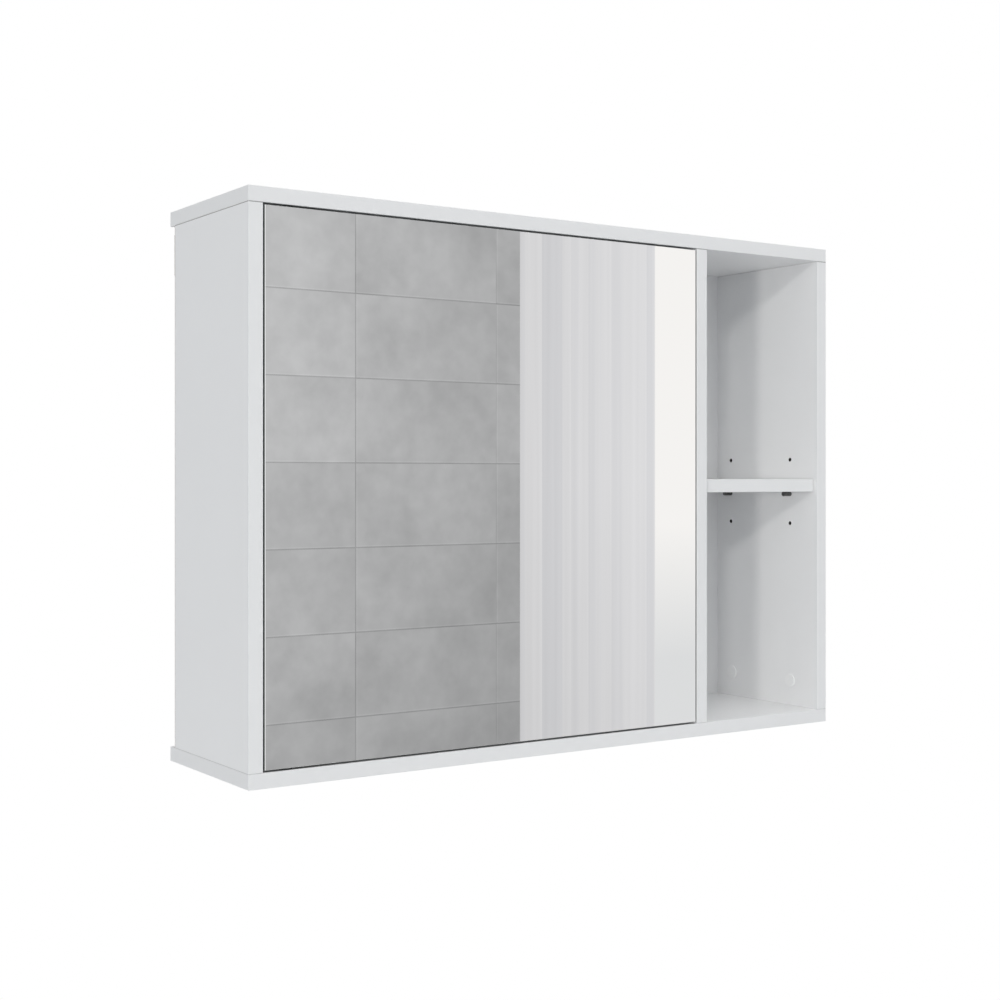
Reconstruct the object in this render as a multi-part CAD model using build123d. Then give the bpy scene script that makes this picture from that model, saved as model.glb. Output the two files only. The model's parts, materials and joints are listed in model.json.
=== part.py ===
from build123d import *
import os

# Bathroom mirror cabinet, millimetres. X runs to the right as seen from the room,
# Y runs towards the wall and Z up. The origin is on the wall plane, at the middle
# of the cabinet's bottom edge.

# Carcass; end_fit is the air left past the end of whatever sits in a blind hole, and
# largest_round limits a rounded arris to its share of the wall
cabinet_width = 800.0
cabinet_height = 600.0
cabinet_depth = 200.0
board = 16.0
open_bay_width = 184.0
edging = 1.0
edging_round = 0.7
largest_round = 0.9
back_board = 3.0
end_fit = 0.3
hanger_space = 10.0

# Mirror door
door_gap = 2.0
glass = 4.0
glass_arris = 0.5
tape = 1.0
tape_width = 20.0
tape_count = 5
tape_margin = 22.0

# Small countersunk screws of the hinges, latch and strike plate
small_screw_radius = 1.5
small_screw_head_radius = 2.8
small_screw_head = 1.6

# Pivot hinges, one in the door's top edge and one in its bottom edge
pivot_from_edge = 26.0
pivot_from_front = 9.0
leaf_length = 60.0
leaf_width = 15.0
leaf_thickness = 2.5
leaf_lead = 12.0
leaf_fit = 0.15
pin_radius = 3.0
pin_depth = 9.0
pin_spigot_radius = 2.0
running_fit = 0.05
bush_wall = 2.0
bush_flange_radius = 7.0
bush_flange = 0.8
bush_length = 10.5
washer_thickness = 0.9
leaf_screw_spacing = 22.0
leaf_screw_from_pivot = 17.0
leaf_screw_length = 18.0

# Shelves, their pins and the columns of pin holes; front_column also places the front
# row of the fittings that join the carcass
shelf_side_gap = 1.0
shelf_back_gap = 1.0
open_shelf_setback = 6.0
cabinet_shelf_setback = 42.0
shelf_low = 292.0
shelf_pin_radius = 3.0
shelf_pin_reach = 12.0
shelf_pin_shank_radius = 2.4
shelf_pin_shank_length = 7.0
shelf_pin_seat = 0.1
shelf_hole_radius = 2.5
shelf_hole_depth = 10.0
spare_row_step = 41.0
rear_column = 40.0
front_column = 48.0

# Joints of the uprights with the top and bottom
cam_radius = 7.4
cam_length = 12.0
cam_rise = 32.0
cam_fit = 0.1
cam_bolt_radius = 3.0
cam_bolt_depth = 11.0
cam_bolt_neck_radius = 2.0
cam_bolt_neck_length = 6.0
cam_bolt_fit = 1.0
cam_notch_fit = 0.5
cam_slot_width = 1.6
cam_slot_depth = 2.0
cam_cap_radius = 8.5
cam_cap_thickness = 1.0
cam_cap_round = 0.5
fitting_column = 42.0
screw_fit = 0.1
top_screw_length = 50.0
top_screw_head_radius = 5.0
top_screw_head = 3.0
top_screw_shank_radius = 3.5
top_screw_thread_radius = 3.1
top_cap_radius = 6.0
top_cap_thickness = 1.2
dowel_radius = 4.0
dowel_length = 30.0
dowel_in_panel = 11.0

# Back panel nails
nail_radius = 0.7
nail_length = 20.0
nail_head_radius = 2.0
nail_head = 0.6
nail_rows = 5
nail_margin = 50.0

# Wall hangers
hanger_sheet = 1.5
hanger_height = 44.0
hanger_below_top = 10.0
hanger_flange = 14.0
hanger_pad = 42.0
hanger_bend = 1.0
keyhole_entry_radius = 5.0
keyhole_slot_radius = 2.5
keyhole_drop = 6.0
keyhole_travel = 13.0
hanger_screw_radius = 2.0
hanger_screw_length = 25.0
hanger_screw_head_radius = 3.8
hanger_screw_head = 2.0
hanger_screw_spacing = 26.0

# Push latch on the divider, and its strike plate on the door
latch_height = 210.0
latch_length = 80.0
latch_body_width = 16.0
latch_body_height = 14.0
latch_base_height = 30.0
latch_base = 3.0
latch_wall = 2.3
latch_nose = 9.0
plunger_radius = 4.0
plunger_out = 5.5
plunger_travel = 3.0
plunger_front_length = 35.5
plunger_shoulder = 4.0
plunger_fit = 0.08
plunger_stem_radius = 1.9
plunger_stem_length = 24.0
magnet_radius = 4.4
magnet_thickness = 2.0
magnet_gap = 0.3
spring_wire_radius = 0.4
spring_turns = 9
spring_end_gap = 0.3
latch_screw_length = 12.0
strike_width = 12.0
strike_height = 30.0
strike_thickness = 1.2
strike_screw_length = 12.0
strike_screw_head = 0.7

# Planes and centres that the sizes above give
left_x = -cabinet_width / 2
right_x = cabinet_width / 2
front_y = -cabinet_depth
floor_z = board
ceiling_z = cabinet_height - board
upright_rear_y = -(hanger_space + back_board)
divider_right_x = right_x - board - open_bay_width
divider_left_x = divider_right_x - board
bay_left_x = left_x + board
bay_right_x = right_x - board
board_front_y = front_y + edging

door_left_x = bay_left_x + door_gap
door_right_x = divider_left_x - door_gap
door_low_z = floor_z + door_gap
door_high_z = ceiling_z - door_gap
glass_rear_y = front_y + glass
door_board_front_y = glass_rear_y + tape
door_rear_y = door_board_front_y + board
pivot_x = door_left_x + pivot_from_edge
pivot_y = front_y + pivot_from_front
leaf_centre_y = (door_board_front_y + door_rear_y) / 2

pin_row_z = shelf_low - shelf_pin_radius - shelf_pin_seat
hole_rows = (shelf_low - spare_row_step, pin_row_z, shelf_low + spare_row_step)
hole_columns = (-rear_column, front_y + front_column)
fitting_columns = (-fitting_column, front_y + front_column)
dowel_y = sum(fitting_columns) / 2
upright_centres = (left_x + board / 2, divider_left_x + board / 2, right_x - board / 2)
cam_z = floor_z + cam_rise

# Inner face of each upright that holds cams: its X, and the way it faces
cam_faces = ((bay_left_x, 1), (divider_left_x, -1), (bay_right_x, -1))
# Faces with shelf pins: X, the way they face
open_bay_faces = ((divider_right_x, 1), (bay_right_x, -1))
mirror_bay_faces = ((bay_left_x, 1), (divider_left_x, -1))

latch_front_y = door_rear_y + strike_thickness + magnet_gap + plunger_out
latch_rear_y = latch_front_y + latch_length
latch_x = divider_left_x - latch_body_width / 2
magnet_front_y = latch_front_y - plunger_out
plunger_front_y = magnet_front_y + magnet_thickness
shoulder_front_y = plunger_front_y + plunger_front_length
shoulder_rear_y = shoulder_front_y + plunger_shoulder
chamber_radius = latch_body_width / 2 - latch_wall

hanger_high_z = ceiling_z - hanger_below_top
hanger_low_z = hanger_high_z - hanger_height
hanger_centre_z = (hanger_low_z + hanger_high_z) / 2


def block(low, high):
    """A box between two corners."""
    size = [b - a for a, b in zip(low, high)]
    centre = [(a + b) / 2 for a, b in zip(low, high)]
    return Pos(*centre) * Box(*size)


def rod(start, direction, length, radius):
    """A cylinder that starts at a point and runs along a direction."""
    plane = Plane(origin=start, z_dir=direction)
    return plane * Cylinder(radius, length, align=(Align.CENTER, Align.CENTER, Align.MIN))


def stepped_rod(start, direction, steps):
    """Cylinders end to end along a direction, each given as (length, radius)."""
    shape = None
    done = 0.0
    for length, radius in steps:
        origin = tuple(s + d * done for s, d in zip(start, direction))
        piece = rod(origin, direction, length, radius)
        shape = piece if shape is None else shape + piece
        done += length
    return shape


def ring(start, direction, length, outer, inner):
    return rod(start, direction, length, outer) - rod(start, direction, length, inner)


def save(name, shapes):
    """Write one node: a solid, or several separate solids as one group."""
    shape = shapes if not isinstance(shapes, list) else Compound(children=shapes)
    export_step(shape, f"parts/{name}.step")


def edge_strip(low, high, outward, along):
    """An edge strip whose two long outer arrises are rounded."""
    strip = block(low, high)
    axis = {"X": Axis.X, "Y": Axis.Y, "Z": Axis.Z}
    group = strip.edges().group_by(axis[outward[1]])
    outer = group[0] if outward[0] == "-" else group[-1]
    return fillet(outer.filter_by(axis[along]), min(edging_round, largest_round * edging))


# Holes shared by the panels

def fitting_holes_in_top():
    """Counterbored holes for the connecting screws, with a seat for the caps."""
    holes = []
    head_top = cabinet_height - top_cap_thickness
    head_low = head_top - top_screw_head
    for x in upright_centres:
        for y in fitting_columns:
            shank = top_screw_shank_radius + screw_fit
            head = top_screw_head_radius + screw_fit
            steps = (
                (head_low - ceiling_z, shank),
                (top_screw_head, head),
                (top_cap_thickness, top_cap_radius + screw_fit),
            )
            holes.append(stepped_rod((x, y, ceiling_z), (0, 0, 1), steps))
    return holes


def dowel_holes_in_panel(face_z, up):
    """Blind dowel holes in the top or bottom panel, from its inner face."""
    depth = dowel_in_panel + end_fit
    radius = dowel_radius + running_fit
    return [rod((x, dowel_y, face_z), (0, 0, up), depth, radius) for x in upright_centres]


def upright_end_holes(x):
    """Holes in an upright's two ends: screw threads above, cam bolts below, dowels in both."""
    thread_depth = top_screw_length - (board - top_cap_thickness) + end_fit
    dowel_depth = dowel_length - dowel_in_panel + end_fit
    holes = []
    for y in fitting_columns:
        thread = top_screw_thread_radius + screw_fit
        holes.append(rod((x, y, ceiling_z), (0, 0, -1), thread_depth, thread))
        holes.append(rod((x, y, floor_z), (0, 0, 1), cam_rise, cam_bolt_radius + cam_bolt_fit))
    for z, up in ((ceiling_z, -1), (floor_z, 1)):
        holes.append(rod((x, dowel_y, z), (0, 0, up), dowel_depth, dowel_radius + running_fit))
    return holes


def cam_holes(face_x, facing):
    depth = cam_length + 2 * cam_fit
    radius = cam_radius + cam_fit
    return [rod((face_x, y, cam_z), (-facing, 0, 0), depth, radius) for y in fitting_columns]


def shelf_holes(face_x, facing, depth):
    direction = (-facing, 0, 0)
    return [
        rod((face_x, y, z), direction, depth, shelf_hole_radius)
        for y in hole_columns
        for z in hole_rows
    ]


def nail_heights():
    """Nail rows on each upright, between the bottom margin and the hangers."""
    high = hanger_low_z - nail_margin
    step = (high - nail_margin) / (nail_rows - 1)
    return [nail_margin + step * row for row in range(nail_rows)]


def nail_holes(x):
    length = nail_length + end_fit
    return [rod((x, -hanger_space, z), (0, -1, 0), length, nail_radius) for z in nail_heights()]


def hanger_screw_heights():
    half = hanger_screw_spacing / 2
    return (hanger_centre_z - half, hanger_centre_z + half)


def hanger_screw_holes(x):
    length = hanger_screw_length - hanger_sheet + end_fit
    radius = hanger_screw_radius + running_fit
    start_y = -hanger_space
    return [rod((x, start_y, z), (0, -1, 0), length, radius) for z in hanger_screw_heights()]


def latch_screw_places():
    """Two screws, one above and one below the latch body, at different depths."""
    rise = (latch_body_height + latch_base_height) / 4
    third = latch_length / 3
    return (
        (latch_front_y + third, latch_height - rise),
        (latch_rear_y - third, latch_height + rise),
    )


# Carcass panels

def top_panel():
    low = (left_x + edging, board_front_y, ceiling_z)
    panel = block(low, (right_x - edging, 0, cabinet_height))
    bush_hole = bush_hole_at(ceiling_z, 1)
    return panel - fitting_holes_in_top() - dowel_holes_in_panel(ceiling_z, 1) - bush_hole


def bottom_panel():
    panel = block((left_x + edging, board_front_y, 0), (right_x - edging, 0, floor_z))
    for x in upright_centres:
        for y in fitting_columns:
            hole_radius = cam_bolt_radius + running_fit
            panel -= rod((x, y, floor_z), (0, 0, -1), cam_bolt_depth + end_fit, hole_radius)
    return panel - dowel_holes_in_panel(floor_z, -1) - bush_hole_at(floor_z, -1)


def panel_edging(low_z):
    """Front strip over the full width and a strip on each end, as separate solids."""
    high_z = low_z + board
    front = block((left_x, front_y, low_z), (right_x, board_front_y, high_z))
    outer = front.edges().group_by(Axis.Y)[0]
    front = fillet(outer, min(edging_round, largest_round * edging))
    left_end = edge_strip(
        (left_x, board_front_y, low_z), (left_x + edging, 0, high_z), "-X", "Y"
    )
    right_end = edge_strip(
        (right_x - edging, board_front_y, low_z), (right_x, 0, high_z), "+X", "Y"
    )
    return [front, left_end, right_end]


def upright(low_x, holes):
    """A vertical board between the bottom and the top, behind its edge strip."""
    low = (low_x, board_front_y, floor_z)
    panel = block(low, (low_x + board, upright_rear_y, ceiling_z))
    centre = low_x + board / 2
    return panel - upright_end_holes(centre) - nail_holes(centre) - holes


def left_side_panel():
    holes = cam_holes(bay_left_x, 1) + shelf_holes(bay_left_x, 1, shelf_hole_depth)
    return upright(left_x, holes + hanger_screw_holes(upright_centres[0]))


def right_side_panel():
    holes = cam_holes(bay_right_x, -1) + shelf_holes(bay_right_x, -1, shelf_hole_depth)
    return upright(bay_right_x, holes + hanger_screw_holes(upright_centres[-1]))


def divider_panel():
    holes = cam_holes(divider_left_x, -1) + shelf_holes(divider_right_x, 1, board)
    for y, z in latch_screw_places():
        depth = latch_screw_length - latch_base + end_fit
        holes.append(rod((divider_left_x, y, z), (1, 0, 0), depth, small_screw_radius + running_fit))
    return upright(divider_left_x, holes)


def upright_edging(low_x):
    low = (low_x, front_y, floor_z)
    return edge_strip(low, (low_x + board, board_front_y, ceiling_z), "-Y", "Z")


def back_panel():
    low = (left_x + edging, upright_rear_y, floor_z)
    panel = block(low, (right_x - edging, -hanger_space, ceiling_z))
    for x in upright_centres:
        panel -= nail_holes(x)
    for x in (upright_centres[0], upright_centres[-1]):
        panel -= hanger_screw_holes(x)
    return panel


# Fittings that join the carcass

def cam_housing(face_x, facing, y):
    """A cam with a notch for the bolt's head and a driver slot in its face."""
    start = (face_x - facing * cam_fit, y, cam_z)
    cam = rod(start, (-facing, 0, 0), cam_length, cam_radius)
    bolt_x = face_x - facing * board / 2
    half = cam_bolt_radius + cam_notch_fit
    low = (bolt_x - half, y - half, cam_z - 2 * cam_radius)
    cam -= block(low, (bolt_x + half, y + half, cam_z + half))
    slot_half = cam_slot_width / 2
    face = start[0]
    slot_x = sorted((face, face - facing * cam_slot_depth))
    slot_reach = cam_radius - cam_slot_depth
    slot_low = (slot_x[0], y - slot_half, cam_z - slot_reach)
    return cam - block(slot_low, (slot_x[1], y + slot_half, cam_z + slot_reach))


def cam_bolt(x, y):
    """Threaded shank in the bottom panel, a neck, and a head inside the cam."""
    neck_low = cam_z - cam_bolt_neck_length - cam_bolt_radius / 2
    steps = (
        (cam_bolt_depth + neck_low - floor_z, cam_bolt_radius),
        (cam_bolt_neck_length, cam_bolt_neck_radius),
        (cam_bolt_radius, cam_bolt_radius),
    )
    return stepped_rod((x, y, floor_z - cam_bolt_depth), (0, 0, 1), steps)


def cam_cover_cap(face_x, facing, y):
    cap = rod((face_x, y, cam_z), (facing, 0, 0), cam_cap_thickness, cam_cap_radius)
    outer = cap.edges().sort_by(Axis.X)[-1 if facing > 0 else 0]
    return fillet(outer, cam_cap_round)


def per_cam(make):
    return [make(x, facing, y) for x, facing in cam_faces for y in fitting_columns]


def per_upright(make):
    return [make(x, y) for x in upright_centres for y in fitting_columns]


def top_screw(x, y):
    """Connecting screw with a flat head, down through the top into the upright."""
    head_top = cabinet_height - top_cap_thickness
    shank = board - top_cap_thickness - top_screw_head
    steps = (
        (top_screw_head, top_screw_head_radius),
        (shank, top_screw_shank_radius),
        (top_screw_length - top_screw_head - shank, top_screw_thread_radius),
    )
    return stepped_rod((x, y, head_top), (0, 0, -1), steps)


def top_screw_cap(x, y):
    start = (x, y, cabinet_height - top_cap_thickness)
    return rod(start, (0, 0, 1), top_cap_thickness, top_cap_radius)


def dowels():
    made = []
    for x in upright_centres:
        made.append(rod((x, dowel_y, floor_z - dowel_in_panel), (0, 0, 1), dowel_length, dowel_radius))
        made.append(rod((x, dowel_y, ceiling_z + dowel_in_panel), (0, 0, -1), dowel_length, dowel_radius))
    return made


def nails():
    made = []
    for x in upright_centres:
        for z in nail_heights():
            head = rod((x, nail_head - hanger_space, z), (0, -1, 0), nail_head, nail_head_radius)
            made.append(head + rod((x, -hanger_space, z), (0, -1, 0), nail_length, nail_radius))
    return made


# Wall hangers in the space behind the back panel

def hanger_flange_x(side):
    """Edge of the hanger's flange nearest the cabinet's end; side is -1 left, 1 right."""
    return side * (cabinet_width / 2 - edging)


def hanger_pad_centre_x(side):
    web_x = hanger_flange_x(side) - side * (hanger_flange + hanger_sheet)
    return web_x - side * hanger_pad / 2


def wall_hanger(side):
    """A joggled plate: flange on the back, web, and a pad with a keyhole on the wall plane."""
    flange_x = hanger_flange_x(side)
    web_x = flange_x - side * hanger_flange
    web_end_x = web_x - side * hanger_sheet
    pad_x = web_end_x - side * hanger_pad
    base_y = -hanger_space
    z = (hanger_low_z, hanger_high_z)

    def plate(x_a, x_b, y_a, y_b):
        return block((min(x_a, x_b), y_a, z[0]), (max(x_a, x_b), y_b, z[1]))

    hanger = plate(flange_x, web_end_x, base_y, base_y + hanger_sheet)
    hanger += plate(web_x, web_end_x, base_y, 0)
    hanger += plate(web_x, pad_x, -hanger_sheet, 0)
    bends = [
        edge
        for edge in hanger.edges().filter_by(Axis.Z)
        for x, y in ((web_end_x, base_y), (web_x, 0))
        if (Vector(x, y, edge.center().Z) - edge.center()).length < hanger_sheet / 2
    ]
    hanger = fillet(bends, min(hanger_bend, largest_round * hanger_sheet))
    centre_x = hanger_pad_centre_x(side)
    entry_z = hanger_centre_z - keyhole_drop
    through = (centre_x, -2 * hanger_sheet, entry_z)
    hanger -= rod(through, (0, 1, 0), 3 * hanger_sheet, keyhole_entry_radius)
    slot_top = (centre_x, -2 * hanger_sheet, entry_z + keyhole_travel)
    hanger -= rod(slot_top, (0, 1, 0), 3 * hanger_sheet, keyhole_slot_radius)
    slot_low = (centre_x - keyhole_slot_radius, -2 * hanger_sheet, entry_z)
    slot_high = (centre_x + keyhole_slot_radius, hanger_sheet, entry_z + keyhole_travel)
    hanger -= block(slot_low, slot_high)
    for screw_z in hanger_screw_heights():
        radius = hanger_screw_radius + running_fit
        upright_x = side * (cabinet_width - board) / 2
        hanger -= rod((upright_x, -hanger_space, screw_z), (0, 1, 0), hanger_sheet, radius)
    return hanger


def hanger_screws():
    made = []
    for x in (upright_centres[0], upright_centres[-1]):
        for z in hanger_screw_heights():
            start = (x, hanger_sheet + hanger_screw_head - hanger_space, z)
            steps = (
                (hanger_screw_head, hanger_screw_head_radius),
                (hanger_screw_length, hanger_screw_radius),
            )
            made.append(stepped_rod(start, (0, -1, 0), steps))
    return made


# Shelves and pins

def shelf(bay_low_x, bay_high_x, setback):
    """The shelf's board and its front edge strip."""
    low_x = bay_low_x + shelf_side_gap
    high_x = bay_high_x - shelf_side_gap
    front = front_y + setback
    high_z = shelf_low + board
    rear = upright_rear_y - shelf_back_gap
    panel = block((low_x, front + edging, shelf_low), (high_x, rear, high_z))
    strip = edge_strip((low_x, front, shelf_low), (high_x, front + edging, high_z), "-Y", "X")
    return panel, strip


def shelf_pin(face_x, facing, y):
    """A round pin: its shank in the hole and a thicker stub that carries the shelf."""
    start = (face_x - facing * shelf_pin_shank_length, y, pin_row_z)
    steps = (
        (shelf_pin_shank_length, shelf_pin_shank_radius),
        (shelf_pin_reach, shelf_pin_radius),
    )
    return stepped_rod(start, (facing, 0, 0), steps)


def shelf_pins(faces):
    return [shelf_pin(x, facing, y) for x, facing in faces for y in hole_columns]


# Door

def bush_hole_at(face_z, into):
    """Blind hole for a hinge bush, into the panel from its inner face."""
    radius = pin_radius + running_fit + bush_wall + running_fit
    return rod((pivot_x, pivot_y, face_z), (0, 0, into), bush_length + end_fit, radius)


def leaf_pocket(face_z, into, fit):
    """Space of a leaf in the door's edge; with no fit it is the leaf itself."""
    low_x = pivot_x - leaf_lead - fit
    high_x = pivot_x - leaf_lead + leaf_length + fit
    low_y = leaf_centre_y - leaf_width / 2 - fit
    high_y = leaf_centre_y + leaf_width / 2 + fit
    z = sorted((face_z, face_z + into * leaf_thickness))
    return block((low_x, low_y, z[0]), (high_x, high_y, z[1]))


def leaf_screw_xs():
    first = pivot_x + leaf_screw_from_pivot
    return (first, first + leaf_screw_spacing)


def leaf_screw_holes(face_z, into, radius):
    return [
        rod((x, leaf_centre_y, face_z), (0, 0, into), leaf_screw_length + end_fit, radius)
        for x in leaf_screw_xs()
    ]


# Each leaf's outer face and the way into the door
leaf_faces = ((door_low_z, 1), (door_high_z, -1))


def strike_centre():
    return (latch_x, door_rear_y, latch_height)


def door_board():
    low = (door_left_x + edging, door_board_front_y, door_low_z + edging)
    panel = block(low, (door_right_x - edging, door_rear_y, door_high_z - edging))
    for face_z, into in leaf_faces:
        panel -= leaf_pocket(face_z, into, leaf_fit)
        panel -= leaf_screw_holes(face_z, into, small_screw_radius + running_fit)
    depth = strike_screw_length + end_fit
    return panel - rod(strike_centre(), (0, -1, 0), depth, small_screw_radius + running_fit)


def door_edging():
    """Upright strips over the full height; the top and bottom strips lie between them."""
    y = (door_board_front_y, door_rear_y)
    inner_x = (door_left_x + edging, door_right_x - edging)
    left_low = (door_left_x, y[0], door_low_z)
    left = edge_strip(left_low, (inner_x[0], y[1], door_high_z), "-X", "Z")
    right_low = (inner_x[1], y[0], door_low_z)
    right = edge_strip(right_low, (door_right_x, y[1], door_high_z), "+X", "Z")
    low = edge_strip((inner_x[0], y[0], door_low_z), (inner_x[1], y[1], door_low_z + edging), "-Z", "X")
    high_low = (inner_x[0], y[0], door_high_z - edging)
    high = edge_strip(high_low, (inner_x[1], y[1], door_high_z), "+Z", "X")
    low_cut = low - leaf_pocket(door_low_z, 1, leaf_fit)
    high_cut = high - leaf_pocket(door_high_z, -1, leaf_fit)
    return [left, right, low_cut, high_cut]


def tape_strips():
    """Upright strips of mirror tape, spread evenly over the door."""
    strips = []
    first = door_left_x + tape_margin
    step = (door_right_x - door_left_x - 2 * tape_margin - tape_width) / (tape_count - 1)
    for index in range(tape_count):
        x = first + step * index
        low = (x, glass_rear_y, door_low_z + tape_margin)
        strips.append(block(low, (x + tape_width, door_board_front_y, door_high_z - tape_margin)))
    return strips


def mirror_glass():
    pane = block((door_left_x, front_y, door_low_z), (door_right_x, glass_rear_y, door_high_z))
    return chamfer(pane.edges().group_by(Axis.Y)[0], glass_arris)


def pivot_leaf(face_z, into):
    leaf = leaf_pocket(face_z, into, 0)
    spigot = pin_spigot_radius + running_fit
    leaf -= rod((pivot_x, pivot_y, face_z), (0, 0, into), leaf_thickness, spigot)
    for x in leaf_screw_xs():
        steps = (
            (small_screw_head, small_screw_head_radius + running_fit),
            (leaf_thickness - small_screw_head, small_screw_radius + running_fit),
        )
        leaf -= stepped_rod((x, leaf_centre_y, face_z), (0, 0, into), steps)
    return leaf


def pivot_pin(face_z, into):
    """Pin that stands out of the leaf into the bush, with a spigot through the leaf."""
    pin = rod((pivot_x, pivot_y, face_z), (0, 0, -into), door_gap + pin_depth, pin_radius)
    return pin + rod((pivot_x, pivot_y, face_z), (0, 0, into), leaf_thickness, pin_spigot_radius)


def hinge_bush(face_z, into):
    """Flanged bush pressed into the panel; into points into the panel."""
    bore = pin_radius + running_fit
    body = rod((pivot_x, pivot_y, face_z), (0, 0, into), bush_length, bore + bush_wall)
    body += rod((pivot_x, pivot_y, face_z), (0, 0, -into), bush_flange, bush_flange_radius)
    start = (pivot_x, pivot_y, face_z - into * bush_flange)
    return body - rod(start, (0, 0, into), bush_flange + bush_length, bore)


def hinge_washer(face_z, into):
    start = (pivot_x, pivot_y, face_z - into * bush_flange)
    bore = pin_radius + running_fit
    return ring(start, (0, 0, -into), washer_thickness, bush_flange_radius, bore)


# The panels' inner faces, and the way into each panel
bush_faces = ((floor_z, -1), (ceiling_z, 1))


def countersunk_screw(start, direction, length):
    """Small screw with a flat head that is let into the piece it holds."""
    steps = (
        (small_screw_head, small_screw_head_radius),
        (length - small_screw_head, small_screw_radius),
    )
    return stepped_rod(start, direction, steps)


def leaf_screws():
    made = []
    for face_z, into in leaf_faces:
        for x in leaf_screw_xs():
            made.append(countersunk_screw((x, leaf_centre_y, face_z), (0, 0, into), leaf_screw_length))
    return made


def strike_plate():
    x, y, z = strike_centre()
    low = (x - strike_width / 2, y, z - strike_height / 2)
    plate = block(low, (x + strike_width / 2, y + strike_thickness, z + strike_height / 2))
    steps = (
        (strike_thickness - strike_screw_head, small_screw_radius + running_fit),
        (strike_screw_head, small_screw_head_radius + running_fit),
    )
    return plate - stepped_rod(strike_centre(), (0, 1, 0), steps)


def strike_screw():
    """Its head lies flush in the plate, so that the magnet meets the plate around it."""
    start = (latch_x, door_rear_y + strike_thickness, latch_height)
    shank = strike_screw_length - strike_screw_head
    steps = ((strike_screw_head, small_screw_head_radius), (shank, small_screw_radius))
    return stepped_rod(start, (0, -1, 0), steps)


# Push latch

def latch_housing():
    """Base plate on the divider with a body that the plunger slides in."""
    body_half = latch_body_height / 2
    base_half = latch_base_height / 2
    body_low = (divider_left_x - latch_body_width, latch_front_y, latch_height - body_half)
    housing = block(body_low, (divider_left_x, latch_rear_y, latch_height + body_half))
    base_low = (divider_left_x - latch_base, latch_front_y, latch_height - base_half)
    housing += block(base_low, (divider_left_x, latch_rear_y, latch_height + base_half))
    nose = (latch_x, latch_front_y, latch_height)
    housing -= rod(nose, (0, 1, 0), latch_nose, plunger_radius + plunger_fit)
    chamber = (latch_x, latch_front_y + latch_nose, latch_height)
    depth = latch_length - latch_nose - latch_wall
    housing -= rod(chamber, (0, 1, 0), depth, chamber_radius)
    for y, z in latch_screw_places():
        start = (divider_left_x - latch_base, y, z)
        steps = (
            (small_screw_head, small_screw_head_radius + running_fit),
            (latch_base - small_screw_head, small_screw_radius + running_fit),
        )
        housing -= stepped_rod(start, (1, 0, 0), steps)
    return housing


def latch_plunger():
    """Front rod, a shoulder that runs in the chamber, and a stem inside the spring."""
    steps = (
        (plunger_front_length, plunger_radius),
        (plunger_shoulder, chamber_radius - plunger_fit),
        (plunger_stem_length, plunger_stem_radius),
    )
    return stepped_rod((latch_x, plunger_front_y, latch_height), (0, 1, 0), steps)


def latch_magnet():
    start = (latch_x, magnet_front_y, latch_height)
    return rod(start, (0, 1, 0), magnet_thickness, magnet_radius)


def latch_spring():
    """Coil at its pressed length, between the pushed-in shoulder and the chamber's end."""
    start = shoulder_rear_y + plunger_travel + spring_end_gap + spring_wire_radius
    end = latch_rear_y - latch_wall - spring_end_gap - spring_wire_radius
    radius = (plunger_stem_radius + chamber_radius) / 2
    coil = Helix(pitch=(end - start) / spring_turns, height=end - start, radius=radius)
    section = Plane(origin=coil @ 0, z_dir=coil % 0) * Circle(spring_wire_radius)
    turned = sweep(section, path=coil, is_frenet=True)
    return Plane(origin=(latch_x, start, latch_height), z_dir=(0, 1, 0)) * turned


def latch_screws():
    start_x = divider_left_x - latch_base
    return [
        countersunk_screw((start_x, y, z), (1, 0, 0), latch_screw_length)
        for y, z in latch_screw_places()
    ]


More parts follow.
